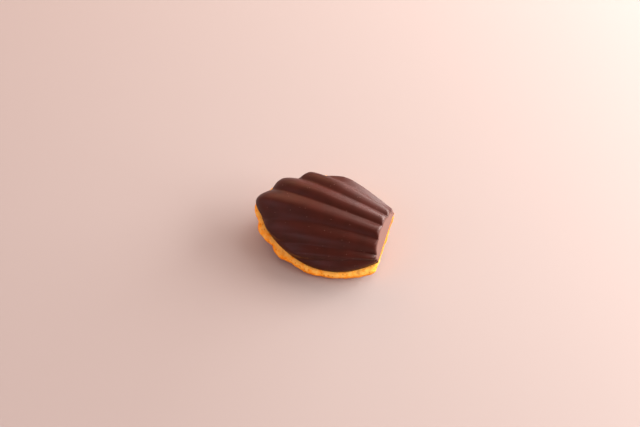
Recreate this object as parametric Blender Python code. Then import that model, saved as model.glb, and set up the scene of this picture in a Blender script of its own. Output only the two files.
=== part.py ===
"""Madeleine with a moulded dark chocolate shell over its ribbed side.

Two solids make the cake: the chocolate shell, a thin ribbed bowl turned over, and the sponge, whose core
fills the shell, whose rim shows below it all round and whose hump is on the underside.

Both are shaped in the cake's own frame. There x runs along the cake towards its narrow end, y runs across
it and z points out of the ribbed side. z = 0 is the lower edge of the chocolate, and x = 0 is the foot of
the flat facet at the narrow end. An empty then tilts the cake as it lies, on its hump and on one side of
its rim, with the ground at z = 0.
"""
import math

import bmesh
import bpy
import numpy as np
from mathutils import Matrix, Vector

MM = 0.001

# Outline of the chocolate's lower edge. Its two long sides are not quite alike. A pair of values gives
# the side towards +y as 1 and the side towards -y as -1.
LENGTH = 66.8 * MM            # from the facet's foot to the wide end
FACET_HALF_WIDTH = {1: 14.4 * MM, -1: 12.4 * MM}  # at the facet's foot
WIDEST_AT = -29.5 * MM        # x of the widest place
HALF_WIDTH = {1: 25.0 * MM, -1: 24.9 * MM}
FLARE_POWER = {1: 1.42, -1: 2.27}  # how each side opens out from the facet
LEAST_HALF_WIDTH = 0.001 * MM  # keeps the division by the width safe at the wide end
END_POWER = 1.7               # superellipse power of the wide end, 2 for an ellipse

# Height of the ribbed side in the valleys between the ribs
CROWN_HEIGHT = 14.7 * MM
CROWN_AT = -32.3 * MM         # x of the highest place
FACET_HEIGHT = 12.4 * MM
FACET_LEAN = 2.4 * MM         # how far the facet's top leans back from its foot
FRONT_POWER = 2.8             # how the crown falls towards the facet
END_DROP_POWER = 1.56         # how it falls towards the wide end
END_DROP_ROOT = 2.32
SIDE_POWER = 1.82             # how the crown falls towards the sides
SIDE_ROOT = 1.33

# Ribs, which fan out from the facet to the rim
RIB_COUNT = 7
FAN_START_X = 1.0 * MM        # the fan begins just outside the facet, which then cuts it
# Where the valleys start, as shares of the facet's half width, where they end, as degrees round the
# outline, and how far they bow sideways, as shares of their length
VALLEY_START = (0.89, 0.66, 0.2, -0.35, -0.86, -0.98)
VALLEY_SWEEP = (106.7, 126.9, 156.9, 208.1, 235.3, 256.7)
VALLEY_BOW = (0.039, -0.011, -0.004, 0.008, -0.023, -0.056)
# Controls of the ribs' height, at the facet, between and at the tip
RIB_RISE = (1.8 * MM, 0.78 * MM, 2.8 * MM)
RIB_FADE_HEIGHT = (2.0 * MM, 4.2 * MM)  # height above the rim below which the ribs fade out
RIB_FADE_TURNS = (3.4, 4.5)   # ribs between which the one turns into the other
RIB_FADE_POWER = 1.26
RIB_ROUNDNESS = 1.77          # 2 gives a parabola across the rib
RIB_ROOT = 0.9                # below 1 gives slimmer ribs with wider valleys
VALLEY_SOFTNESS = 0.06        # 0 leaves a crease between two ribs
SLOPE_STEP = 0.2 * MM         # distance over which the dome's slope is taken
LEAST_SLOPE = 1e-9            # keeps the division by the slope safe on the dome's top
STEEPEST = 3.0                # slope beyond which the ribs lean out no further

SHELL_WALL = 1.6 * MM
GAP = 0.5 * MM                # between the shell and the sponge

# Sponge below the shell
SKIRT = 2.0 * MM              # how far the shell's hollow and the sponge's core go below z = 0
RIM_OVERHANG = {1: 0.3 * MM, -1: 2.4 * MM}  # how far the rim stands out from the chocolate on each side
SIDE_FROM, SIDE_TO = -0.35, 0.55  # sines of the angles between which one side's value turns into the other's
FACET_OVERHANG = {1: -0.9 * MM, -1: 0.1 * MM}  # the same at the facet, where it stands back
RIM_CORNER = 1.4 * MM         # extra at the corner towards -y
CORNER_FROM, CORNER_TO = 0.5, 0.9  # cosines of the angles over which the corner builds up
RIM_TOP = -0.3 * MM
RIM_BOTTOM = -5.0 * MM
RIM_LOBE = 2.0 * MM           # how far the rim bulges at each rib of the wide end
LOBE_ROUNDNESS = 1.8
LOBE_FADE = 0.5               # cosine of the angle at which the bulges have faded out
RIM_TUCK = 3.0 * MM           # how far the rim's top goes in under the chocolate
UNDERSIDE_TUCK = 1.0 * MM     # how far in from the outline the underside begins
RIM_ARC_STEPS = 6
RIM_ROUND_POWER = 0.8         # below 1 makes the rim's section squarer than an ellipse

HUMP_AT = Vector((-32.3 * MM, 2.0 * MM))
HUMP_HEIGHT = 8.35 * MM
HUMP_SPREAD = Vector((17.0 * MM, 13.5 * MM))
HUMP_FULLNESS = 1.2           # above 1 gives a rounder top and steeper sides than a bell curve
UNDERSIDE_RINGS = 9
LEAST_COSINE = 0.01           # keeps the division by the cosine safe away from the facet
UNDERSIDE_SWELL = 0.5 * MM    # how far the underside bellies down between the rim and the hump

# How the cake lies
ROLL = math.radians(18.5)     # the side towards -y is down
DIP = math.radians(1.8)       # the narrow end is down
LIFT = 11.9 * MM              # height of the cake frame's origin
AHEAD = 34.9 * MM             # its x
ASIDE = 0.12 * MM             # its y
GROUND_BLOCK = 200.0 * MM

# Fineness of the surfaces
STEPS_ACROSS_RIB = 6
STEPS_ALONG_RIB = 17
RIM_CROWDING = 1.6            # above 1 crowds the rows towards the rim, where the surface turns down
RIM_STEPS = 72
OUTLINE_SAMPLES = 600
FOOT_SAMPLES = 41
SHARP_FROM = math.radians(40.0)

DARK_CHOCOLATE = (0.040, 0.012, 0.010)
CHOCOLATE_ROUGHNESS = 0.35
GOLDEN_SPONGE = (0.72, 0.36, 0.085)
SPONGE_ROUGHNESS = 0.85


def half_width(x, side, inset):
    """Half width of the chocolate's outline at x, on the side given as 1 or -1, moved in by inset."""
    widest = np.where(side > 0, HALF_WIDTH[1], HALF_WIDTH[-1])
    at_facet = np.where(side > 0, FACET_HALF_WIDTH[1], FACET_HALF_WIDTH[-1])
    flare = np.where(side > 0, FLARE_POWER[1], FLARE_POWER[-1])
    towards_facet = np.clip((x - WIDEST_AT) / -WIDEST_AT, 0, None)
    towards_end = np.clip((WIDEST_AT - x) / (LENGTH - inset + WIDEST_AT), 0, 1)
    narrow = widest - (widest - at_facet) * towards_facet ** flare - inset
    wide = (widest - inset) * (1 - towards_end ** END_POWER) ** (1 / END_POWER)
    return np.maximum(np.where(x > WIDEST_AT, narrow, wide), LEAST_HALF_WIDTH)


def crown(x, inset):
    """Height of the middle line at x."""
    towards_facet = np.clip((x - CROWN_AT) / (-FACET_LEAN - CROWN_AT), 0, None)
    towards_end = np.clip((CROWN_AT - x) / (LENGTH - inset + CROWN_AT), 0, 1)
    front = CROWN_HEIGHT - (CROWN_HEIGHT - FACET_HEIGHT) * towards_facet ** FRONT_POWER - inset
    back = (CROWN_HEIGHT - inset) * (1 - towards_end ** END_DROP_POWER) ** (1 / END_DROP_ROOT)
    return np.where(x > CROWN_AT, front, back)


def dome(x, y, inset):
    """Height of the ribbed side without its ribs."""
    across = np.clip(np.abs(y) / half_width(x, np.sign(y), inset), 0, 1)
    return crown(x, inset) * (1 - across ** SIDE_POWER) ** (1 / SIDE_ROOT)


def fan_point(rib, along, inset):
    """Place on the plan for a rib, from 0 to RIB_COUNT, and a distance along it, from 0 to 1 at the rim."""
    valleys = np.arange(RIB_COUNT + 1)
    share = np.interp(rib, valleys, [1, *VALLEY_START, -1])
    sweep = np.radians(np.interp(rib, valleys, [0, *VALLEY_SWEEP, 360]))
    bow = np.interp(rib, valleys, [0, *VALLEY_BOW, 0])
    side = np.where(sweep <= math.pi, 1, -1)
    start_y = share * half_width(FAN_START_X, side, inset)
    end_x = FAN_START_X - (LENGTH - inset + FAN_START_X) * (1 - np.cos(sweep)) / 2
    end_y = side * half_width(end_x, side, inset)
    length = np.hypot(end_x - FAN_START_X, end_y - start_y)
    x = FAN_START_X + (end_x - FAN_START_X) * along
    y = start_y + (end_y - start_y) * along + bow * length * 4 * along * (1 - along)
    return x, y


def outward(x, y, inset):
    """Unit normal of the dome, found from its slope over a small step."""
    step = SLOPE_STEP
    slope_x = (dome(x + step, y, inset) - dome(x - step, y, inset)) / (2 * step)
    slope_y = (dome(x, y + step, inset) - dome(x, y - step, inset)) / (2 * step)
    slope = np.maximum(np.hypot(slope_x, slope_y), LEAST_SLOPE)
    shrink = np.minimum(slope, STEEPEST) / slope
    normal = np.stack([-slope_x * shrink, -slope_y * shrink, np.ones_like(slope)], axis=-1)
    return normal / np.linalg.norm(normal, axis=-1, keepdims=True)


def rib_rise(rib, along, height):
    """How far the ribs stand out of the dome. They fade out close to the rim."""
    from_valley = np.hypot(1 - np.abs(2 * (rib % 1.0) - 1), VALLEY_SOFTNESS)
    section = np.maximum(1 - np.abs(1 - from_valley) ** RIB_ROUNDNESS, 0) ** (1 / RIB_ROOT)
    facet, between, tip = RIB_RISE
    full = facet * (1 - along) ** 2 + 2 * between * along * (1 - along) + tip * along ** 2
    fade_height = np.interp(rib, RIB_FADE_TURNS, RIB_FADE_HEIGHT)
    return section * full * np.clip(height / fade_height, 0, 1) ** RIB_FADE_POWER


def ribbed_point(rib, along, inset):
    """Point of the ribbed side, inset from the chocolate's outer face."""
    x, y = fan_point(rib, along, inset)
    height = np.where(along < 1, dome(x, y, inset), 0.0)
    rise = rib_rise(rib, along, height)[..., None] * outward(x, y, inset)
    return np.stack([x, y, height], axis=-1) + rise


def face_between(bm, rows):
    """Quads between rows of vertices, with triangles where a row closes to a point."""
    for upper, lower in zip(rows, rows[1:]):
        for i in range(len(upper) - 1):
            corners = [upper[i], upper[i + 1], lower[i + 1], lower[i]]
            corners = [v for k, v in enumerate(corners) if v not in corners[:k]]
            if len(corners) > 2:
                bm.faces.new(corners)


def ribbed_solid(name, inset, skirt):
    """Closed solid under the ribbed side, cut off by the facet. A skirt carries it down below z = 0."""
    ribs = np.linspace(0, RIB_COUNT, RIB_COUNT * STEPS_ACROSS_RIB + 1)
    alongs = 1 - (1 - np.linspace(0, 1, STEPS_ALONG_RIB + 1)) ** RIM_CROWDING
    ribs, alongs = np.meshgrid(ribs, alongs)
    grid = ribbed_point(ribs, alongs, inset)
    bm = bmesh.new()
    first, last = bm.verts.new(grid[0, 0]), bm.verts.new(grid[0, -1])
    rows = [[first, *(bm.verts.new(p) for p in row[1:-1]), last] for row in grid]
    if skirt > 0:
        rows.append([bm.verts.new((p[0], p[1], -skirt)) for p in grid[-1]])
    face_between(bm, rows)
    foot = [rows[-1][-1], rows[-1][0]] if skirt > 0 else []
    bm.faces.new(rows[0] + foot)
    bm.faces.new(rows[-1])
    bmesh.ops.recalc_face_normals(bm, faces=bm.faces)
    normal = Vector((FACET_HEIGHT, 0, FACET_LEAN)).normalized()
    everything = bm.verts[:] + bm.edges[:] + bm.faces[:]
    bmesh.ops.bisect_plane(bm, geom=everything, plane_co=-normal * inset, plane_no=normal, clear_outer=True)
    bmesh.ops.holes_fill(bm, edges=[e for e in bm.edges if e.is_boundary], sides=0)
    bmesh.ops.recalc_face_normals(bm, faces=bm.faces)
    return object_from(name, bm)


def object_from(name, bm):
    mesh = bpy.data.meshes.new(name)
    bm.to_mesh(mesh)
    bm.free()
    mesh.shade_smooth()
    mesh.set_sharp_from_angle(angle=SHARP_FROM)
    return bpy.data.objects.new(name, mesh)


def outline_by_angle(angles):
    """Distance from the hump's middle to the chocolate's outline, and the rib there, for each angle."""
    dense = np.linspace(0.0, RIB_COUNT, OUTLINE_SAMPLES)
    x, y = fan_point(dense, np.ones_like(dense), 0.0)
    foot_y = np.linspace(float(y[-1]), float(y[0]), FOOT_SAMPLES)[1:-1]
    x = np.concatenate([np.minimum(x, 0.0), np.zeros_like(foot_y)]) - HUMP_AT.x
    y = np.concatenate([y, foot_y]) - HUMP_AT.y
    rib = np.concatenate([dense, np.full_like(foot_y, RIB_COUNT)])
    found = np.degrees(np.arctan2(y, x)) % 360
    order = np.argsort(found)
    radius = np.interp(angles, found[order], np.hypot(x, y)[order], period=360)
    return radius, np.interp(angles, found[order], rib[order], period=360)


def sponge_base():
    """Rim, underside and hump of the sponge, as rings round the hump's middle."""
    angles = np.linspace(0, 360, RIM_STEPS, endpoint=False)
    radius, rib = outline_by_angle(angles)
    ahead, aside = np.cos(np.radians(angles)), np.sin(np.radians(angles))
    lobe = RIM_LOBE * (1 - np.abs(2 * (rib % 1.0) - 1) ** LOBE_ROUNDNESS) * np.clip(LOBE_FADE - ahead, 0, 1)
    corner = RIM_CORNER * np.clip((ahead - CORNER_FROM) / (CORNER_TO - CORNER_FROM), 0, 1)
    to_plus_y = np.clip((aside - SIDE_FROM) / (SIDE_TO - SIDE_FROM), 0, 1)
    overhang = RIM_OVERHANG[1] * to_plus_y + (RIM_OVERHANG[-1] + lobe + corner) * (1 - to_plus_y)
    at_facet = FACET_OVERHANG[1] * to_plus_y + FACET_OVERHANG[-1] * (1 - to_plus_y)
    overhang = np.minimum(overhang, (at_facet - HUMP_AT.x) / np.maximum(ahead, LEAST_COSINE) - radius)
    middle = (RIM_TOP + RIM_BOTTOM) / 2
    half_depth = (RIM_TOP - RIM_BOTTOM) / 2

    rings = [(radius - RIM_TUCK, np.full_like(radius, RIM_TOP))]
    for turn in np.radians(np.linspace(90, -90, RIM_ARC_STEPS + 1)):
        out = math.cos(turn) ** RIM_ROUND_POWER if abs(turn) < math.pi / 2 else 0.0
        height = middle + half_depth * math.copysign(abs(math.sin(turn)) ** RIM_ROUND_POWER, turn)
        rings.append((radius + overhang * out, np.full_like(radius, height)))
    for share in np.linspace(1, 0, UNDERSIDE_RINGS + 1)[1:-1]:
        across = (radius - UNDERSIDE_TUCK) * share
        x, y = across * ahead / HUMP_SPREAD.x, across * aside / HUMP_SPREAD.y
        hump = HUMP_HEIGHT * np.exp(-(x ** 2 + y ** 2) ** HUMP_FULLNESS)
        rings.append((across, RIM_BOTTOM - UNDERSIDE_SWELL * (1 - share ** 2) - hump))

    bm = bmesh.new()
    rows = []
    for distance, height in rings:
        x, y = HUMP_AT.x + distance * ahead, HUMP_AT.y + distance * aside
        row = [bm.verts.new(p) for p in zip(x, y, height)]
        rows.append(row + row[:1])
    summit = bm.verts.new((*HUMP_AT, RIM_BOTTOM - UNDERSIDE_SWELL - HUMP_HEIGHT))
    rows.append([summit] * (RIM_STEPS + 1))
    face_between(bm, rows)
    bm.faces.new(rows[0][:-1])
    bmesh.ops.recalc_face_normals(bm, faces=bm.faces)
    return object_from("sponge_base", bm)


def material(name, colour, roughness):
    made = bpy.data.materials.new(name)
    made.use_nodes = True
    surface = made.node_tree.nodes["Principled BSDF"]
    surface.inputs["Base Color"].default_value = (*colour, 1.0)
    surface.inputs["Roughness"].default_value = roughness
    surface.inputs["Metallic"].default_value = 0.0
    return made


def join_by(thing, operation, other):
    modifier = thing.modifiers.new(f"{operation.lower()} {other.name}", "BOOLEAN")
    modifier.operation = operation
    modifier.solver = "EXACT"
    modifier.object = other


def ground_block():
    """Block under the ground, which flattens the sponge where it rests."""
    bm = bmesh.new()
    below = Matrix.Translation((0, 0, -GROUND_BLOCK / 2))
    bmesh.ops.create_cube(bm, size=GROUND_BLOCK, matrix=below)
    return object_from("ground", bm)


def build():
    for old in list(bpy.data.objects):
        bpy.data.objects.remove(old, do_unlink=True)
    cake = bpy.data.collections.new("madeleine")
    cutters = bpy.data.collections.new("cutters")
    bpy.context.scene.collection.children.link(cake)
    bpy.context.scene.collection.children.link(cutters)

    lie = bpy.data.objects.new("how_it_lies", None)
    lie.rotation_mode = "XYZ"
    lie.rotation_euler = (ROLL, DIP, 0)
    lie.location = (AHEAD, ASIDE, LIFT)
    cake.objects.link(lie)

    shell = ribbed_solid("chocolate_shell", 0.0, 0.0)
    hollow = ribbed_solid("shell_hollow", SHELL_WALL, SKIRT)
    core = ribbed_solid("sponge_core", SHELL_WALL + GAP, SKIRT)
    sponge = sponge_base()
    sponge.name = "sponge"
    ground = ground_block()

    shell.data.materials.append(material("dark chocolate", DARK_CHOCOLATE, CHOCOLATE_ROUGHNESS))
    sponge.data.materials.append(material("golden sponge", GOLDEN_SPONGE, SPONGE_ROUGHNESS))
    for piece in (shell, sponge):
        cake.objects.link(piece)
    for cutter in (hollow, core, ground):
        cutters.objects.link(cutter)
        cutter.hide_render = True
        cutter.display_type = "WIRE"
    for piece in (shell, sponge, hollow, core):
        piece.parent = lie

    join_by(shell, "DIFFERENCE", hollow)
    join_by(sponge, "UNION", core)
    join_by(sponge, "DIFFERENCE", ground)


build()
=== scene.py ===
# %% [markdown]
# # A madeleine with a dark chocolate shell
#
# A madeleine is a small sponge cake baked in a scallop-shaped tin. This one lies hump side down. Its
# ribbed side wears a thin shell of dark chocolate, cast in the same tin, and the baked rim of the sponge
# shows below the chocolate's edge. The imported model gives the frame: how big the cake is and where it
# lies. This lesson makes two finished pieces that stand for the plain ones, the chocolate and the sponge,
# then the paper it lies on, the light and the camera.

# %% Load the frame
import math

import bpy
import numpy as np
from mathutils import Euler, Matrix, Vector, noise


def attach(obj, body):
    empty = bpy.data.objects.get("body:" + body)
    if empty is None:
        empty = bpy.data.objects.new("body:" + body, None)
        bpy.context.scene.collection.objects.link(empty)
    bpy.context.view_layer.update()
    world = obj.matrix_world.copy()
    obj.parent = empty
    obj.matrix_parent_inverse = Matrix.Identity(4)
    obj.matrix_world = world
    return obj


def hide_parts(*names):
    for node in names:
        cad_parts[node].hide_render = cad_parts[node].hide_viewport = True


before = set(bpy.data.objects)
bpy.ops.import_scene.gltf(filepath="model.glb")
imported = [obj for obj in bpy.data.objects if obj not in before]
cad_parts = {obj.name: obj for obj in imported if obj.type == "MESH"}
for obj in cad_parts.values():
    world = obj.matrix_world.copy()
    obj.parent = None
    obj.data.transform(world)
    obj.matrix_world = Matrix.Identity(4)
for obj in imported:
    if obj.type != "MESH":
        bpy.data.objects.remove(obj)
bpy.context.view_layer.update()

# %% [markdown]
# ## The cake's own frame
#
# The shape is easiest to describe before the cake is laid down. In the cake's own frame x runs along it
# towards the narrow end, y runs across it and z points out of the ribbed side. The chocolate's lower edge
# is at z = 0, and x = 0 is the foot of the flat facet at the narrow end. `LAY` then tips the cake onto its
# hump and one edge. All lengths below are in millimetres and are turned to metres in one place.

# %% How the cake lies
MM = 0.001
ROLL = math.radians(18.5)     # the side towards -y is down
DIP = math.radians(1.8)       # the narrow end is down
ORIGIN = Vector((34.9, 0.12, 11.9))
LAY = Matrix.Translation(ORIGIN) @ Euler((ROLL, DIP, 0), "XYZ").to_matrix().to_4x4()
LAY_TURN = np.array(LAY.to_3x3())


def laid(points):
    """Points of the cake's own frame, in mm, as places in the frame, in metres."""
    return (np.asarray(points) @ LAY_TURN.T + np.array(ORIGIN)) * MM


print("the narrow end's foot lies at, in mm:", [round(v, 1) for v in laid([0, 0, 0]) / MM])

# %% [markdown]
# ## The scallop's outline and dome
#
# A scallop tin is a smooth dome with ribs added on top. Three short formulas give the dome: half its width
# at each x, the height of its middle line, and how that height falls towards the sides. Superellipses are
# used because they turn down steeply at the rim, as a tin does. A sculpted mesh would look alike, but
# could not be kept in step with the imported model.

# %% Outline and dome
LENGTH = 66.8                              # from the facet's foot to the wide end
FACET_HALF_WIDTH = {1: 14.4, -1: 12.4}     # the side towards +y is 1, the side towards -y is -1
WIDEST_AT = -29.5
HALF_WIDTH = {1: 25.0, -1: 24.9}
FLARE_POWER = {1: 1.42, -1: 2.27}          # how each side opens out from the facet
END_POWER = 1.7                            # 2 would make the wide end an ellipse
CROWN_HEIGHT, CROWN_AT = 14.7, -32.3
FACET_HEIGHT, FACET_LEAN = 12.4, 2.4       # the facet's top leans back from its foot
FRONT_POWER = 2.8                          # how the crown falls towards the facet
END_DROP_POWER, END_DROP_ROOT = 1.56, 2.32  # how it falls towards the wide end
SIDE_POWER, SIDE_ROOT = 1.82, 1.33         # how it falls towards the sides
LEAST_HALF_WIDTH = 0.001                   # keeps a division by the width safe at the wide end


def half_width(x, side, inset=0.0):
    """Half width of the chocolate's outline at x, on side 1 or -1, moved in by inset."""
    widest = np.where(side > 0, HALF_WIDTH[1], HALF_WIDTH[-1])
    at_facet = np.where(side > 0, FACET_HALF_WIDTH[1], FACET_HALF_WIDTH[-1])
    flare = np.where(side > 0, FLARE_POWER[1], FLARE_POWER[-1])
    towards_facet = np.clip((x - WIDEST_AT) / -WIDEST_AT, 0, None)
    towards_end = np.clip((WIDEST_AT - x) / (LENGTH - inset + WIDEST_AT), 0, 1)
    narrow = widest - (widest - at_facet) * towards_facet ** flare - inset
    wide = (widest - inset) * (1 - towards_end ** END_POWER) ** (1 / END_POWER)
    return np.maximum(np.where(x > WIDEST_AT, narrow, wide), LEAST_HALF_WIDTH)


def dome(x, y, inset=0.0):
    """Height of the ribbed side without its ribs."""
    towards_facet = np.clip((x - CROWN_AT) / (-FACET_LEAN - CROWN_AT), 0, None)
    towards_end = np.clip((CROWN_AT - x) / (LENGTH - inset + CROWN_AT), 0, 1)
    front = CROWN_HEIGHT - (CROWN_HEIGHT - FACET_HEIGHT) * towards_facet ** FRONT_POWER - inset
    back = (CROWN_HEIGHT - inset) * (1 - towards_end ** END_DROP_POWER) ** (1 / END_DROP_ROOT)
    across = np.clip(np.abs(y) / half_width(x, np.sign(y), inset), 0, 1)
    return np.where(x > CROWN_AT, front, back) * (1 - across ** SIDE_POWER) ** (1 / SIDE_ROOT)


print("the dome is", round(float(dome(np.float64(CROWN_AT), np.float64(0))), 1), "mm high at its crown")

# %% [markdown]
# ## The fan of ribs
#
# Seven ribs fan out from the facet. Each valley between them starts at the facet and ends at the rim, and
# a point on the plan is found from two numbers: the rib, counted across the fan, and the distance along
# it. Each rib is a low arch across its width. It grows taller towards its tip and fades into the rim, so
# the chocolate's lower edge stays a clean curve.

# %% Fan of ribs
RIB_COUNT = 7
FAN_START_X = 1.0                          # just outside the facet, which is cut later
VALLEY_START = (0.89, 0.66, 0.2, -0.35, -0.86, -0.98)     # shares of the half width at the facet
VALLEY_SWEEP = (106.7, 126.9, 156.9, 208.1, 235.3, 256.7)  # degrees round the outline, where they end
VALLEY_BOW = (0.039, -0.011, -0.004, 0.008, -0.023, -0.056)  # sideways bow, as shares of a valley's length
RIB_RISE = (1.8, 0.78, 2.8)                # controls of the height: facet, between, tip
FADE_HEIGHT, FADE_POWER = (2.0, 4.2), 1.26  # height above the rim below which the ribs fade out
FADE_TURNS = (3.4, 4.5)                    # ribs between which the first height becomes the second
RIB_ROUNDNESS, RIB_ROOT = 1.77, 0.9        # the arch across a rib
VALLEY_SOFTNESS = 0.06                     # 0 leaves a crease between two ribs
SLOPE_STEP, STEEPEST = 0.2, 3.0            # step for the dome's slope, and the steepest slope used
LEAST_SLOPE = 1e-9                         # keeps a division by the slope safe on the dome's top


def fan_point(rib, along, inset=0.0):
    """Place on the plan for a rib, 0 to RIB_COUNT, and a distance along it, 0 to 1 at the rim."""
    valleys = np.arange(RIB_COUNT + 1)
    share = np.interp(rib, valleys, [1, *VALLEY_START, -1])
    sweep = np.radians(np.interp(rib, valleys, [0, *VALLEY_SWEEP, 360]))
    side = np.where(sweep <= math.pi, 1, -1)
    start_y = share * half_width(FAN_START_X, side, inset)
    end_x = FAN_START_X - (LENGTH - inset + FAN_START_X) * (1 - np.cos(sweep)) / 2
    end_y = side * half_width(end_x, side, inset)
    bow = np.interp(rib, valleys, [0, *VALLEY_BOW, 0]) * np.hypot(end_x - FAN_START_X, end_y - start_y)
    x = FAN_START_X + (end_x - FAN_START_X) * along
    y = start_y + (end_y - start_y) * along + bow * 4 * along * (1 - along)
    return x, y


def outward(x, y, inset=0.0):
    """Unit normal of the dome, from its slope over a small step."""
    slope_x = (dome(x + SLOPE_STEP, y, inset) - dome(x - SLOPE_STEP, y, inset)) / (2 * SLOPE_STEP)
    slope_y = (dome(x, y + SLOPE_STEP, inset) - dome(x, y - SLOPE_STEP, inset)) / (2 * SLOPE_STEP)
    slope = np.maximum(np.hypot(slope_x, slope_y), LEAST_SLOPE)
    shrink = np.minimum(slope, STEEPEST) / slope
    normal = np.stack([-slope_x * shrink, -slope_y * shrink, np.ones_like(slope)], axis=-1)
    return normal / np.linalg.norm(normal, axis=-1, keepdims=True)


def rib_rise(rib, along, height):
    """How far the ribs stand out of the dome. They fade out close to the rim."""
    from_valley = np.hypot(1 - np.abs(2 * (rib % 1.0) - 1), VALLEY_SOFTNESS)
    arch = np.maximum(1 - np.abs(1 - from_valley) ** RIB_ROUNDNESS, 0) ** (1 / RIB_ROOT)
    facet, between, tip = RIB_RISE
    full = facet * (1 - along) ** 2 + 2 * between * along * (1 - along) + tip * along ** 2
    return arch * full * np.clip(height / np.interp(rib, FADE_TURNS, FADE_HEIGHT), 0, 1) ** FADE_POWER


def ribbed_point(rib, along, inset=0.0):
    """Point of the ribbed side."""
    x, y = fan_point(rib, along, inset)
    height = np.where(along < 1, dome(x, y, inset), 0.0)
    rise = rib_rise(rib, along, height)[..., None] * outward(x, y, inset)
    return np.stack([x, y, height], axis=-1) + rise


print("the fan has", RIB_COUNT, "ribs, and the tallest tip rises", RIB_RISE[-1], "mm")

# %% [markdown]
# ## Small helpers
#
# Blender's operators act on whatever is selected, so one helper makes an object the only selected one.
# Two more read all of a mesh's vertices into an array and put them back. Shaping thousands of vertices
# as one array takes a moment, where moving them one by one would take minutes.

# %% Helpers for modelling
def only(thing):
    """Make one object the only selected one, and the active one."""
    bpy.ops.object.select_all(action="DESELECT")
    thing.select_set(True)
    bpy.context.view_layer.objects.active = thing


def newest(name):
    """Name the object that an operator has just added."""
    thing = bpy.context.active_object
    thing.name = name
    thing.data.name = name
    only(thing)
    return thing


def coordinates(thing):
    """The mesh's vertices as an array, in metres."""
    places = np.empty(len(thing.data.vertices) * 3)
    thing.data.vertices.foreach_get("co", places)
    return places.reshape(-1, 3)


def put(thing, places):
    """Move the mesh's vertices to these places, in metres."""
    thing.data.vertices.foreach_set("co", np.asarray(places, dtype=float).ravel())
    thing.data.update()


def triangles(thing):
    thing.data.calc_loop_triangles()
    return len(thing.data.loop_triangles)


print("helpers ready")

# %% [markdown]
# ## The chocolate shell
#
# The real shell is cast: melted chocolate is brushed into the tin and the cake is pressed into it. It has
# the tin's ribs outside, a flat facet at the narrow end, and edges that are slightly round because
# chocolate shrinks as it sets. Each line of its skin starts at the middle of the facet's foot, climbs the
# facet, bends over its edge, follows a rib to the rim, turns under the lip and comes back inside. A grid
# is laid along those lines, so that every rib and edge gets even, clean faces. Cutting the facet with a
# bisect is quicker, but it leaves slivers where the edge crosses the ribs, and they show in a gloss.

# %% Lines of the skin
CROWDING = 1.6                             # above 1 crowds the rows towards the rim
FACET_NORMAL = np.array([FACET_HEIGHT, 0, FACET_LEAN]) / math.hypot(FACET_HEIGHT, FACET_LEAN)
FACET_ROWS, BEND_ROWS, RIB_ROWS, INNER_ROWS = 12, 6, 96, 36
FACET_BEND = (0.7, 2.2)                    # how far from the edge the bend starts, in valleys and on ribs
LONGEST_BEND = 0.3                         # the most a bend may take of the line it is on
SHORTEST_LINE = 0.01
HALVINGS = 40                              # steps of the search for the facet's edge


def facet_crossing(rib, inset):
    """Distance along each line at which it passes through the facet's plane."""
    low, high = np.zeros_like(rib), np.ones_like(rib)
    for _ in range(HALVINGS):
        middle = (low + high) / 2
        outside = ribbed_point(rib, middle, inset) @ FACET_NORMAL > -inset
        low, high = np.where(outside, middle, low), np.where(outside, high, middle)
    return high


def skin_lines(rib, inset, rows):
    """Rows of points from the middle of the facet's foot, over its edge and along each rib to the rim."""
    start = facet_crossing(rib, inset)
    edge = ribbed_point(rib, start, inset)
    foot = np.zeros_like(edge)
    foot[:, 0] = -inset / FACET_NORMAL[0]
    up = edge - foot
    across = 1 - np.abs(2 * (rib % 1.0) - 1)
    wanted = FACET_BEND[0] + (FACET_BEND[1] - FACET_BEND[0]) * across
    bend = np.minimum(wanted[:, None], LONGEST_BEND * np.linalg.norm(up, axis=1, keepdims=True))
    before = edge - up / np.linalg.norm(up, axis=1, keepdims=True) * bend
    line_length = np.linalg.norm(ribbed_point(rib, np.ones_like(rib), inset) - edge, axis=1)
    step = np.minimum(wanted / np.maximum(line_length, SHORTEST_LINE), LONGEST_BEND) * (1 - start)
    after = ribbed_point(rib, start + step, inset)
    climb = [foot + (before - foot) * share for share in np.linspace(0, 1, FACET_ROWS + 1)[:-1]]
    turn = [
        before * (1 - t) ** 2 + edge * 2 * t * (1 - t) + after * t ** 2
        for t in np.linspace(0, 1, BEND_ROWS + 1)[:-1]
    ]
    shares = 1 - (1 - np.linspace(0, 1, rows + 1)) ** CROWDING
    run = [ribbed_point(rib, start + step + (1 - start - step) * share, inset) for share in shares]
    return climb + turn + run


print("rows over the outside:", FACET_ROWS + BEND_ROWS + RIB_ROWS + 1)

# %% Lay the grid
WALL = 1.2                                 # the shell's thickness
COLUMNS = 168
LIP_RADIUS, LIP_ROWS = 0.35, 4             # the round lip between the outside and the inside
WELD = 0.01 * MM                           # points closer than this become one
corner_sweep = math.acos(1 - 2 * FAN_START_X / (LENGTH + FAN_START_X))
first_rib = math.degrees(corner_sweep) / VALLEY_SWEEP[0]
last_rib = RIB_COUNT - math.degrees(corner_sweep) / (360 - VALLEY_SWEEP[-1])
ribs = np.linspace(first_rib, last_rib, COLUMNS + 1)

outside = skin_lines(ribs, 0.0, RIB_ROWS)
inside = skin_lines(ribs, WALL, INNER_ROWS)
lip = []
for turn in np.linspace(0, math.pi, LIP_ROWS + 2)[1:-1]:
    share = (1 - math.cos(turn)) / 2
    drop = -LIP_RADIUS * math.sin(turn)
    lip.append(outside[-1] + (inside[-1] - outside[-1]) * share + np.array([0, 0, drop]))
rows = outside + lip + inside[::-1]

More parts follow.
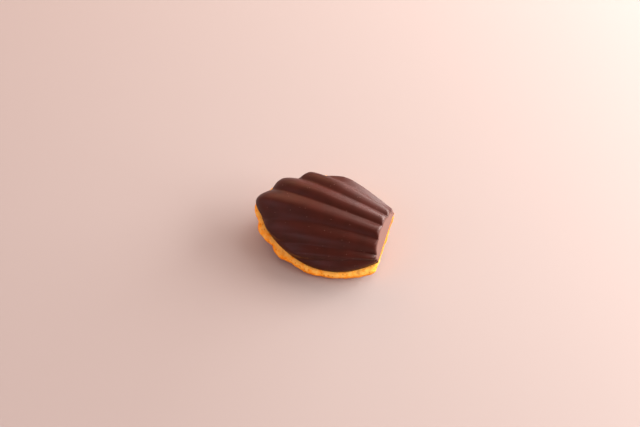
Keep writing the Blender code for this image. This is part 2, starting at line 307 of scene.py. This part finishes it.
bpy.ops.object.select_all(action="DESELECT")
bpy.ops.mesh.primitive_grid_add(x_subdivisions=COLUMNS, y_subdivisions=len(rows) - 1, size=1.0)
chocolate = newest("dark_chocolate_shell")
flat = coordinates(chocolate)
column = np.rint((flat[:, 0] + 0.5) * COLUMNS).astype(int)
row = np.rint((flat[:, 1] + 0.5) * (len(rows) - 1)).astype(int)
put(chocolate, np.array(rows)[row, column] * MM)

# Marks the facet, whose pale, pinkish colour is a little bloom and mostly a painted reflection of paper and
# light
bloom_and_sheen = chocolate.data.attributes.new("bloom_and_sheen", "FLOAT", "POINT")
bloom_and_sheen.data.foreach_set("value", np.clip((FACET_ROWS + BEND_ROWS / 2 - row) / (BEND_ROWS / 2), 0.0, 1.0))

bpy.ops.object.mode_set(mode="EDIT")
bpy.ops.mesh.select_all(action="SELECT")
bpy.ops.mesh.remove_doubles(threshold=WELD)
bpy.ops.mesh.select_mode(type="EDGE")
bpy.ops.mesh.select_all(action="DESELECT")
bpy.ops.mesh.select_non_manifold(extend=False, use_wire=False, use_multi_face=False,
                                 use_non_contiguous=False, use_verts=False)
bpy.ops.mesh.edge_face_add()
bpy.ops.mesh.select_all(action="SELECT")
bpy.ops.mesh.normals_make_consistent(inside=False)
bpy.ops.object.mode_set(mode="OBJECT")
print("the shell has", triangles(chocolate), "triangles")

# %% [markdown]
# ## Uneven as it was cast
#
# No casting is perfect. The chocolate's faces wander by a few hundredths of a millimetre, which is enough
# to make a highlight waver. A slow noise along the normals does that in the mesh itself, so that the
# unevenness also shows from the side. A bump in the material could not change the outline.

# %% Cast unevenness
WAVER = ((0.05, 9.0), (0.02, 2.6))         # depth and size of each layer of noise
CAST_SEED, CRUMB_SEED = 3.0, 11.0
FROM_LAYER = 17.3                          # how far apart the layers are read, so that they differ
FROM_SEED, FROM_ORIGIN = 5.1, 31.7


def noise_along_normals(thing, layers, seed):
    """Move each vertex along its normal by layered noise, each layer with a depth and a size in mm."""
    normals = np.empty(len(thing.data.vertices) * 3)
    thing.data.vertices.foreach_get("normal", normals)
    normals = normals.reshape(-1, 3)
    places = coordinates(thing)
    shift = np.zeros(len(places))
    for layer, (depth, size) in enumerate(layers):
        offset = Vector((seed + FROM_LAYER * layer, FROM_SEED * seed, FROM_ORIGIN))
        shift += [depth * noise.noise(Vector(p / MM) / size + offset) for p in places]
    put(thing, places + normals * shift[:, None] * MM)


noise_along_normals(chocolate, WAVER, CAST_SEED)
put(chocolate, laid(coordinates(chocolate) / MM))
bpy.ops.object.shade_smooth()
print("the shell's box, in mm:", np.round(coordinates(chocolate).min(0) / MM, 1),
      np.round(coordinates(chocolate).max(0) / MM, 1))

# %% [markdown]
# ## The sponge
#
# The sponge fills the shell, swells out below it in a soft rim, and rises into the hump that every
# madeleine has on its open side. All of it lies on rings round the hump's middle, so it starts as a UV
# sphere: each ring of the sphere becomes a ring of the cake, from the top of the core, down over the
# shoulder, round the rim, and in under the cake to the hump.

# %% Outline as seen from the hump's middle
HUMP_AT = (-32.3, 2.0)
HUMP_HEIGHT, HUMP_SPREAD, HUMP_FULLNESS = 8.35, (17.0, 13.5), 1.2
RIM_OVERHANG = {1: 0.3, -1: 2.4}           # how far the rim stands out from the chocolate on each side
SIDE_FROM, SIDE_TO = -0.35, 0.55           # sines between which one side's value turns into the other's
FACET_OVERHANG = {1: -0.9, -1: 0.1}        # the same at the facet, where the rim stands back
RIM_LOBE, LOBE_ROUNDNESS, LOBE_FADE = 2.0, 1.8, 0.5  # the rim bulges at each rib of the wide end
RIM_CORNER, CORNER_FROM, CORNER_TO = 1.4, 0.5, 0.9   # and at the corner towards -y
RIM_TOP, RIM_BOTTOM = -0.36, -5.0
RIM_ROUND_POWER = 0.8                      # below 1 makes the rim's section squarer than an ellipse
UNDERSIDE_TUCK, UNDERSIDE_SWELL = 1.0, 0.5
OUTLINE_SAMPLES, FOOT_SAMPLES = 2400, 161
LEAST_COSINE = 0.01                        # keeps a division by the cosine safe away from the facet


def outline_at(angles):
    """Distance from the hump's middle to the chocolate's outline, and the rib there, at each angle."""
    dense = np.linspace(0.0, RIB_COUNT, OUTLINE_SAMPLES)
    x, y = fan_point(dense, np.ones_like(dense))
    foot_y = np.linspace(float(y[-1]), float(y[0]), FOOT_SAMPLES)[1:-1]
    x = np.concatenate([np.minimum(x, 0.0), np.zeros_like(foot_y)]) - HUMP_AT[0]
    y = np.concatenate([y, foot_y]) - HUMP_AT[1]
    rib = np.concatenate([dense, np.full_like(foot_y, RIB_COUNT)])
    found = np.degrees(np.arctan2(y, x)) % 360
    order = np.argsort(found)
    radius = np.interp(angles, found[order], np.hypot(x, y)[order], period=360)
    return radius, np.interp(angles, found[order], rib[order], period=360)


SPOKES = 480
angles = np.arange(SPOKES) * 360 / SPOKES
radius, rib_there = outline_at(angles)
ahead, aside = np.cos(np.radians(angles)), np.sin(np.radians(angles))
lobe = 1 - np.abs(2 * (rib_there % 1.0) - 1) ** LOBE_ROUNDNESS
lobe *= RIM_LOBE * np.clip(LOBE_FADE - ahead, 0, 1)
to_plus_y = np.clip((aside - SIDE_FROM) / (SIDE_TO - SIDE_FROM), 0, 1)
corner = RIM_CORNER * np.clip((ahead - CORNER_FROM) / (CORNER_TO - CORNER_FROM), 0, 1)
overhang = RIM_OVERHANG[1] * to_plus_y + (RIM_OVERHANG[-1] + lobe + corner) * (1 - to_plus_y)
at_facet = FACET_OVERHANG[1] * to_plus_y + FACET_OVERHANG[-1] * (1 - to_plus_y)
overhang = np.minimum(overhang, (at_facet - HUMP_AT[0]) / np.maximum(ahead, LEAST_COSINE) - radius)
print("the rim stands out by", round(overhang.min(), 1), "to", round(overhang.max(), 1), "mm")

# %% Rings of the sponge
CORE_RINGS, SHOULDER_RINGS, RIM_RINGS, UNDER_RINGS = 16, 5, 30, 60
CORE_GAP, CORE_FACET_GAP = 0.5, 4.5        # from the core to the shell, and to the foot of the facet
rings = []
to_facet = (-CORE_FACET_GAP - HUMP_AT[0]) / np.maximum(ahead, LEAST_COSINE)
core_reach = np.minimum(radius - WALL - CORE_GAP, to_facet)
for share in np.sin(np.linspace(0, math.pi / 2, CORE_RINGS + 1)[1:]):
    x, y = HUMP_AT[0] + core_reach * share * ahead, HUMP_AT[1] + core_reach * share * aside
    rings.append((core_reach * share, np.maximum(dome(x, y, WALL + CORE_GAP), RIM_TOP)))
for share in np.linspace(0, 1, SHOULDER_RINGS + 1)[:-1]:
    rings.append((core_reach + (radius - core_reach) * share, np.full(SPOKES, RIM_TOP)))
rim_middle, rim_half = (RIM_TOP + RIM_BOTTOM) / 2, (RIM_TOP - RIM_BOTTOM) / 2
for turn in np.radians(np.linspace(90, -90, RIM_RINGS)):
    out = max(math.cos(turn), 0.0) ** RIM_ROUND_POWER
    height = rim_middle + rim_half * math.copysign(abs(math.sin(turn)) ** RIM_ROUND_POWER, turn)
    rings.append((radius + overhang * out, np.full(SPOKES, height)))
for share in np.linspace(1, 0, UNDER_RINGS + 1)[:-1]:
    reach = (radius - UNDERSIDE_TUCK) * share
    far = (reach * ahead / HUMP_SPREAD[0]) ** 2 + (reach * aside / HUMP_SPREAD[1]) ** 2
    hump = HUMP_HEIGHT * np.exp(-far ** HUMP_FULLNESS)
    rings.append((reach, RIM_BOTTOM - UNDERSIDE_SWELL * (1 - share ** 2) - hump))

bpy.ops.object.select_all(action="DESELECT")
bpy.ops.mesh.primitive_uv_sphere_add(segments=SPOKES, ring_count=len(rings) + 1, radius=1.0)
sponge = newest("golden_sponge")
ball = coordinates(sponge)
spoke = np.rint(np.degrees(np.arctan2(ball[:, 1], ball[:, 0])) % 360 / 360 * SPOKES).astype(int) % SPOKES
level = np.rint(np.arccos(np.clip(ball[:, 2], -1, 1)) / math.pi * (len(rings) + 1)).astype(int)
reach, height = (np.array(part) for part in zip(*rings))
inner = np.clip(level - 1, 0, len(rings) - 1)
shaped = np.stack([
    HUMP_AT[0] + reach[inner, spoke] * ahead[spoke],
    HUMP_AT[1] + reach[inner, spoke] * aside[spoke],
    height[inner, spoke],
], axis=1)
top, bottom = level == 0, level == len(rings) + 1
shaped[top] = (*HUMP_AT, dome(np.float64(HUMP_AT[0]), np.float64(HUMP_AT[1]), WALL + CORE_GAP))
shaped[bottom] = (*HUMP_AT, RIM_BOTTOM - UNDERSIDE_SWELL - HUMP_HEIGHT)
put(sponge, shaped * MM)
print("the sponge has", triangles(sponge), "triangles")

# %% [markdown]
# ## Crumb
#
# A baked crumb is uneven at every size: the rim swells and sinks over a few millimetres, small blisters
# sit on it, and burst bubbles leave pores. Layered noise makes the first two. The pores are pits round
# the points of a Voronoi pattern, and only some cells get one. Both are moved in the mesh, because the
# rim is seen edge on and a bump would leave its outline smooth. The core inside the shell stays plain.
#
# The same numbers also say where the crust browns. The rim browns away from the chocolate and under
# the facet, while the strip beside the chocolate stays pale. The near corner under the facet is kept pale
# as a painted highlight, where the light falls on it from that side. That and the depth of the pores are
# kept on the mesh as two named attributes for the finish to read.

# %% Swells, blisters and pores
SWELLS = ((0.55, 6.0), (0.3, 2.2), (0.1, 0.8))  # depth and size of each layer of noise
PORE_CELL, PORE_RADIUS, PORE_DEPTH, PORE_SHARE = 1.3, 0.42, 0.34, 0.5
PORE_DRAW = 7.0                            # spreads the cells' points so that each draws its own number
PALE_STRIP = 2.2                           # mm of rim beside the chocolate that stays paler
UNDER_FACET = 3.0                          # width of the browned strip under the facet
# The near corner under the facet is left pale as a painted highlight, where the light falls on it from that
# side
LIT_CORNER_Y, LIT_CORNER_BLEND = -12.0, 4.0     # y of the near corner, which stays pale, and of its soft edge

shared = {name: sponge.data.attributes.new(name, "FLOAT", "POINT") for name in ("browning_and_lit_corner", "pore")}
out_of_shell = level > CORE_RINGS + SHOULDER_RINGS
before = coordinates(sponge) / MM
pit = np.zeros(len(before))
for i in np.flatnonzero(out_of_shell):
    near, points = noise.voronoi(Vector(before[i]) / PORE_CELL)
    drawn = noise.cell(points[0] * PORE_DRAW + Vector((0.5, 0.5, 0.5))) * 0.5 + 0.5
    if drawn < PORE_SHARE:
        pit[i] = max(0.0, 1 - (near[0] * PORE_CELL / PORE_RADIUS) ** 2)
noise_along_normals(sponge, SWELLS, CRUMB_SEED)
raised = np.where(out_of_shell[:, None], coordinates(sponge) / MM, before)
normals = np.empty(len(before) * 3)
sponge.data.vertices.foreach_get("normal", normals)
raised -= normals.reshape(-1, 3) * (pit * PORE_DEPTH)[:, None]
put(sponge, raised * MM)
browning_and_lit_corner = np.clip((RIM_TOP - before[:, 2]) / PALE_STRIP, 0, 1)
# Painted highlight: the near corner is left out of the brown strip under the facet
past_lit_corner = np.clip((before[:, 1] - LIT_CORNER_Y) / LIT_CORNER_BLEND, 0, 1)
under_facet = np.clip(before[:, 0] + UNDER_FACET, 0, 1) * past_lit_corner
browning_and_lit_corner = np.maximum(browning_and_lit_corner, under_facet)
shared["browning_and_lit_corner"].data.foreach_set("value", browning_and_lit_corner)
shared["pore"].data.foreach_set("value", pit)
bpy.ops.object.mode_set(mode="EDIT")
bpy.ops.mesh.select_all(action="SELECT")
bpy.ops.mesh.normals_make_consistent(inside=False)
bpy.ops.object.mode_set(mode="OBJECT")
print("crumb raised, with pores over", round(100 * float((pit > 0).mean())), "% of it")

# %% Lay the sponge down
settled = laid(coordinates(sponge) / MM)
settled[:, 2] = np.maximum(settled[:, 2], 0.0)
put(sponge, settled)
bpy.ops.object.shade_smooth()
print("the sponge's box, in mm:", np.round(settled.min(0) / MM, 1), np.round(settled.max(0) / MM, 1))

# %% [markdown]
# ## Finishes
#
# Each finish is a small tree of nodes. The colours are given as sRGB hex values and turned to the
# linear values that the renderer adds light in. One function adds every node: it takes the node's kind,
# its settings and what its inputs are linked to, so a tree reads from top to bottom like a recipe.

# %% Helpers for finishes
def linear(hex_colour):
    """An sRGB hex colour as linear red, green, blue and alpha."""
    parts = [int(hex_colour[i:i + 2], 16) / 255 for i in (1, 3, 5)]
    return (*(p / 12.92 if p <= 0.04045 else ((p + 0.055) / 1.055) ** 2.4 for p in parts), 1.0)


def new_material(name):
    made = bpy.data.materials.new(name)
    made.use_nodes = True
    made.node_tree.nodes.clear()
    return made, made.node_tree


def add(tree, kind, settings=None, links=None):
    """Add a node, set its sockets or properties by name, and link its inputs from other nodes' outputs."""
    node = tree.nodes.new(kind)
    for name, value in (settings or {}).items():
        if name in node.inputs:
            node.inputs[name].default_value = value
        else:
            setattr(node, name, value)
    for name, source in (links or {}).items():
        tree.links.new(source, node.inputs[name])
    return node


def per_mm(size):
    """Texture scale at which one feature is about this many millimetres wide."""
    return 1.0 / (size * MM)


print("helpers for finishes ready")

# %% [markdown]
# ## The chocolate's finish
#
# Dark chocolate is a brown pigment in cocoa butter. The pigment gives a deep, slightly red body, and the
# fat gives a soft satin gloss over it with the refractive index of a fat, about 1.46. A well-set face is
# never even: the gloss comes and goes in clouds a few millimetres wide, and tiny crumbs of sugar show as
# pale specks. The facet set against the tin's flat end and has a little bloom, but its pale, pinkish colour
# is mostly a painted reflection of the pink paper and the light, mixed into the base colour only. An
# attribute on the mesh says where that is.

# %% Chocolate
COCOA, COCOA_DEEP = linear("#451209"), linear("#270b05")
# The second colour is the facet's: a little bloom, but mostly a painted reflection of the pink paper and
# the light
SUGAR, BLOOM_AND_SHEEN = linear("#8c6a60"), linear("#7a5950")
CLOUD_SIZE, GRAIN_SIZE, SPECK_SPACING = 6.0, 0.5, 1.7    # mm
SPECK_CORE, SPECK_EDGE = 0.05, 0.11        # where a speck starts to fade and ends, in shares of the spacing
SPECK_FROM = 0.62                          # a cell holds a speck if its random shade is above this
BLOOM_AND_SHEEN_STRENGTH = 0.85
SATIN = (0.36, 0.5)                        # roughness of the shiniest and the dullest clouds
GRAIN_RELIEF = 0.05 * MM

chocolate_finish, tree = new_material("tempered dark chocolate")
place = add(tree, "ShaderNodeTexCoord").outputs["Object"]
# Clouds a few millimetres wide vary the body colour and the gloss, as a cooling film of fat does
cloud = add(tree, "ShaderNodeTexNoise", {"Scale": per_mm(CLOUD_SIZE), "Detail": 4.0}, {"Vector": place})
grain = add(tree, "ShaderNodeTexNoise", {"Scale": per_mm(GRAIN_SIZE), "Detail": 2.0}, {"Vector": place})
# Sugar crumbs: pale dots at the middles of some of the cells
sugar = add(tree, "ShaderNodeTexVoronoi", {"Scale": per_mm(SPECK_SPACING)}, {"Vector": place})
near_sugar = add(tree, "ShaderNodeMapRange", {
    "From Min": SPECK_CORE, "From Max": SPECK_EDGE, "To Min": 1.0, "To Max": 0.0,
}, {"Value": sugar.outputs["Distance"]})
some_sugar = add(tree, "ShaderNodeMath", {"operation": "GREATER_THAN"}, {"Value": sugar.outputs["Color"]})
some_sugar.inputs[1].default_value = SPECK_FROM
speck = add(tree, "ShaderNodeMath", {"operation": "MULTIPLY"}, {"Value": near_sugar.outputs["Result"]})
tree.links.new(some_sugar.outputs["Value"], speck.inputs[1])
body = add(tree, "ShaderNodeMixRGB", {"Color1": COCOA_DEEP, "Color2": COCOA}, {"Fac": cloud.outputs["Fac"]})
specked = add(tree, "ShaderNodeMixRGB", {"Color2": SUGAR},
              {"Fac": speck.outputs["Value"], "Color1": body.outputs["Color"]})
# The facet's pale, pinkish colour: a little bloom, but mostly a painted reflection of the paper and the
# light
bloom_and_sheen_mask = add(tree, "ShaderNodeAttribute", {"attribute_name": "bloom_and_sheen"})
bloom_and_sheen_share = add(tree, "ShaderNodeMapRange", {"To Max": BLOOM_AND_SHEEN_STRENGTH}, {"Value": bloom_and_sheen_mask.outputs["Fac"]})
skin = add(tree, "ShaderNodeMixRGB", {"Color2": BLOOM_AND_SHEEN},
           {"Fac": bloom_and_sheen_share.outputs["Result"], "Color1": specked.outputs["Color"]})
satin = add(tree, "ShaderNodeMapRange", {"To Min": SATIN[0], "To Max": SATIN[1]},
            {"Value": cloud.outputs["Fac"]})
relief = add(tree, "ShaderNodeBump", {"Strength": 0.25, "Distance": GRAIN_RELIEF},
             {"Height": grain.outputs["Fac"]})
# The fat's gloss, softened and slightly warmed by the cocoa that reaches its surface
shader = add(tree, "ShaderNodeBsdfPrincipled", {
    "IOR": 1.46, "Specular IOR Level": 0.34, "Specular Tint": linear("#ffdcd0"),
}, {
    "Base Color": skin.outputs["Color"], "Roughness": satin.outputs["Result"],
    "Normal": relief.outputs["Normal"],
})
add(tree, "ShaderNodeOutputMaterial", links={"Surface": shader.outputs["BSDF"]})
chocolate.data.materials.append(chocolate_finish)
print("chocolate ready")

# %% [markdown]
# ## The sponge's finish
#
# The sponge is flour, egg and butter baked to an open crumb. Egg yolk and butter make it yellow, and
# baking browns whatever stood out into the heat. Light goes a millimetre or so into the crumb and comes
# back out warmer, red travelling furthest, so the finish scatters a tenth of its light below the surface.
# The colour runs from the pale strip beside the chocolate to the brown edge, read from an attribute that
# also keeps the near corner's painted highlight, broken up by two sizes of noise, and the pores are painted
# darker as shade in their hollows.

# %% Sponge
PALE, GOLD = linear("#ffbe55"), linear("#ff9c14")
# The last colour is painted shade for the hollows of the pores
BROWN, PORE_SHADE = linear("#e67c08"), linear("#a44a04")
BLOTCH_SIZE, CRUMB_SIZE = 3.2, 0.7         # mm
BLOTCH_SWING = 0.5                         # how far a blotch pushes the browning up or down
PALE_CRUMBS, PORE_SHADE_STRENGTH = 0.5, 0.75
CRUMB_RELIEF = 0.15 * MM
LIGHT_REACH = 1.0 * MM                     # how far red light wanders in the crumb

sponge_finish, tree = new_material("baked butter sponge")
place = add(tree, "ShaderNodeTexCoord").outputs["Object"]
blotch = add(tree, "ShaderNodeTexNoise", {"Scale": per_mm(BLOTCH_SIZE), "Detail": 3.0}, {"Vector": place})
crumb = add(tree, "ShaderNodeTexNoise", {"Scale": per_mm(CRUMB_SIZE), "Detail": 3.0}, {"Vector": place})
toast_and_lit_corner = add(tree, "ShaderNodeAttribute", {"attribute_name": "browning_and_lit_corner"})
pores = add(tree, "ShaderNodeAttribute", {"attribute_name": "pore"})
# How much each place browns, with the near corner's painted highlight: from the mesh, pushed up and down by
# the blotches
uneven = add(tree, "ShaderNodeMapRange", {
    "From Min": 0.3, "From Max": 0.7, "To Min": -BLOTCH_SWING, "To Max": BLOTCH_SWING,
}, {"Value": blotch.outputs["Fac"]})
toast_level_and_lit_corner = add(tree, "ShaderNodeMath", {"operation": "ADD", "use_clamp": True},
                     {"Value": toast_and_lit_corner.outputs["Fac"]})
tree.links.new(uneven.outputs["Result"], toast_level_and_lit_corner.inputs[1])
# Pale to gold over the first half of the browning, gold to brown over the second
first_half = add(tree, "ShaderNodeMapRange", {"From Max": 0.5}, {"Value": toast_level_and_lit_corner.outputs["Value"]})
second_half = add(tree, "ShaderNodeMapRange", {"From Min": 0.5}, {"Value": toast_level_and_lit_corner.outputs["Value"]})
golden = add(tree, "ShaderNodeMixRGB", {"Color1": PALE, "Color2": GOLD},
             {"Fac": first_half.outputs["Result"]})
toasted = add(tree, "ShaderNodeMixRGB", {"Color2": BROWN},
              {"Fac": second_half.outputs["Result"], "Color1": golden.outputs["Color"]})
# Rubbed crumbs show pale, and the pores get painted shade in their hollows
grainy = add(tree, "ShaderNodeMapRange", {"From Min": 0.52, "From Max": 0.7, "To Max": PALE_CRUMBS},
             {"Value": crumb.outputs["Fac"]})
crumbled = add(tree, "ShaderNodeMixRGB", {"Color2": PALE},
               {"Fac": grainy.outputs["Result"], "Color1": toasted.outputs["Color"]})
pore_shade_share = add(tree, "ShaderNodeMapRange", {"To Max": PORE_SHADE_STRENGTH}, {"Value": pores.outputs["Fac"]})
finished = add(tree, "ShaderNodeMixRGB", {"Color2": PORE_SHADE},
               {"Fac": pore_shade_share.outputs["Result"], "Color1": crumbled.outputs["Color"]})
relief = add(tree, "ShaderNodeBump", {"Strength": 0.5, "Distance": CRUMB_RELIEF},
             {"Height": crumb.outputs["Fac"]})
# A dry, rough surface with hardly any gloss, and a little light passed on below it
shader = add(tree, "ShaderNodeBsdfPrincipled", {
    "Roughness": 0.75, "IOR": 1.4, "Specular IOR Level": 0.25,
    "Subsurface Weight": 0.1, "Subsurface Scale": LIGHT_REACH, "Subsurface Radius": (1.0, 0.45, 0.15),
}, {"Base Color": finished.outputs["Color"], "Normal": relief.outputs["Normal"]})
add(tree, "ShaderNodeOutputMaterial", links={"Surface": shader.outputs["BSDF"]})
sponge.data.materials.append(sponge_finish)
print("sponge ready")

# %% [markdown]
# ## Two pieces on the frame
#
# The chocolate and the cake under it are separate things in the library, so each finished mesh is parented
# to the frame's root, and the plain solid it stands for is hidden.

# %% Ride on the frame
for piece, node, slot in ((chocolate, "chocolate_shell", "chocolate"), (sponge, "sponge", "sponge")):
    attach(piece, "root")
    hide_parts(node)
    print(piece.name, "stands for", node)

# %% [markdown]
# ## The paper it lies on
#
# A cake is shown best on a plain, matt sheet that only catches its shadow. A blush paper reflects about a
# third of the light and more of its red, which also warms the shadow side of the cake. It is a single
# large plane, so its edges stay out of view, and it is staging rather than part of the cake.

# %% Paper
PAPER_SIZE = 6.0                           # metres
bpy.ops.object.select_all(action="DESELECT")
bpy.ops.mesh.primitive_plane_add(size=PAPER_SIZE)
paper = newest("paper")
paper_finish, tree = new_material("matte blush paper")
shader = add(tree, "ShaderNodeBsdfPrincipled", {"Base Color": linear("#a69a95"), "Roughness": 0.9})
add(tree, "ShaderNodeOutputMaterial", links={"Surface": shader.outputs["BSDF"]})
paper.data.materials.append(paper_finish)
print("paper laid,", PAPER_SIZE, "m wide")

# %% [markdown]
# ## The camera
#
# Small food is photographed from near by with a longish lens, looking steeply down so that both the ribs
# and the edge of the sponge show. The camera is placed by the direction it looks from, the point it looks
# at and its distance. A lens of about 50 mm from less than half a metre gives a gentle perspective.

# %% Camera
SIGHT_AZIMUTH, SIGHT_ELEVATION = math.radians(19.2), math.radians(54.47)
SIGHT_AT = Vector((-1.94, 5.84, 10.0)) * MM
SIGHT_DISTANCE = 452.0 * MM
LENS, SENSOR = 49.26, 36.0                 # mm
NEAREST_SEEN = 0.01                        # metres

towards = Vector((math.sin(SIGHT_AZIMUTH) * math.cos(SIGHT_ELEVATION),
                  -math.cos(SIGHT_AZIMUTH) * math.cos(SIGHT_ELEVATION), math.sin(SIGHT_ELEVATION)))
bpy.ops.object.camera_add(location=SIGHT_AT + towards * SIGHT_DISTANCE)
camera = bpy.context.active_object
camera.name = "camera"
camera.rotation_euler = towards.to_track_quat("Z", "Y").to_euler()
camera.data.lens = LENS
camera.data.sensor_width = SENSOR
camera.data.clip_start = NEAREST_SEEN
bpy.context.scene.camera = camera
print("camera at, in m:", np.round(camera.location, 3))

# %% [markdown]
# ## Soft light
#
# A window is a wide, soft light from one side. One panel would give it a single even highlight, so the
# window is built from several panels side by side, each a part of it, and the low ones rake along the
# ribs. Pale walls send a little light back into the shadow: warm from behind, cooler from the left, which
# gives the dark chocolate its faint violet sheen. A dim, warm world fills in the rest.

# %% Soft lights
def soft_light(name, azimuth, elevation, distance, size, watts, colour):
    """A soft panel that faces the cake. Azimuth 0 is along +X, turning towards +Y."""
    around, up = math.radians(azimuth), math.radians(elevation)
    direction = Vector((math.cos(around) * math.cos(up), math.sin(around) * math.cos(up), math.sin(up)))
    bpy.ops.object.light_add(type="AREA", location=direction * distance)
    light = bpy.context.active_object
    light.name = name
    light.rotation_euler = direction.to_track_quat("Z", "Y").to_euler()
    light.data.shape = "RECTANGLE"
    light.data.size, light.data.size_y = size
    light.data.energy = watts
    light.data.color = linear(colour)[:3]


DAYLIGHT, WARM, SHADE = "#fffdfd", "#ffc09c", "#e8e0ff"
PANELS = (
    # name, azimuth, elevation, width, height, watts, colour
    ("window_right", 10.0, 22.0, 0.6, 0.38, 10.2, DAYLIGHT),
    ("window_sill", 40.0, 7.0, 0.6, 0.23, 7.7, DAYLIGHT),
    ("window_middle", 40.0, 22.0, 0.6, 0.38, 15.0, DAYLIGHT),
    ("window_corner", 70.0, 7.0, 0.6, 0.23, 7.7, DAYLIGHT),
    ("window_top", 75.0, 42.0, 0.6, 0.45, 4.6, DAYLIGHT),
    ("ceiling", 30.0, 72.0, 0.6, 0.6, 0.9, DAYLIGHT),
    ("wall_behind", 125.0, 30.0, 0.6, 0.6, 3.4, WARM),
    ("wall_left", 205.0, 30.0, 0.6, 0.6, 1.8, SHADE),
    ("table_light", 255.0, 8.0, 0.6, 0.26, 1.6, SHADE),
)
PANEL_DISTANCE = 1.05                      # metres
WORLD_COLOUR, WORLD_STRENGTH = linear("#ffd6c4"), 0.6
for name, azimuth, elevation, width, height, watts, colour in PANELS:
    soft_light(name, azimuth, elevation, PANEL_DISTANCE, (width, height), watts, colour)
print(len(PANELS), "soft panels of light")

world = bpy.data.worlds.new("studio")
bpy.context.scene.world = world
world.use_nodes = True
background = world.node_tree.nodes["Background"]
background.inputs["Color"].default_value = WORLD_COLOUR
background.inputs["Strength"].default_value = WORLD_STRENGTH
bpy.context.scene.view_settings.view_transform = "Standard"
print("lit and in view")
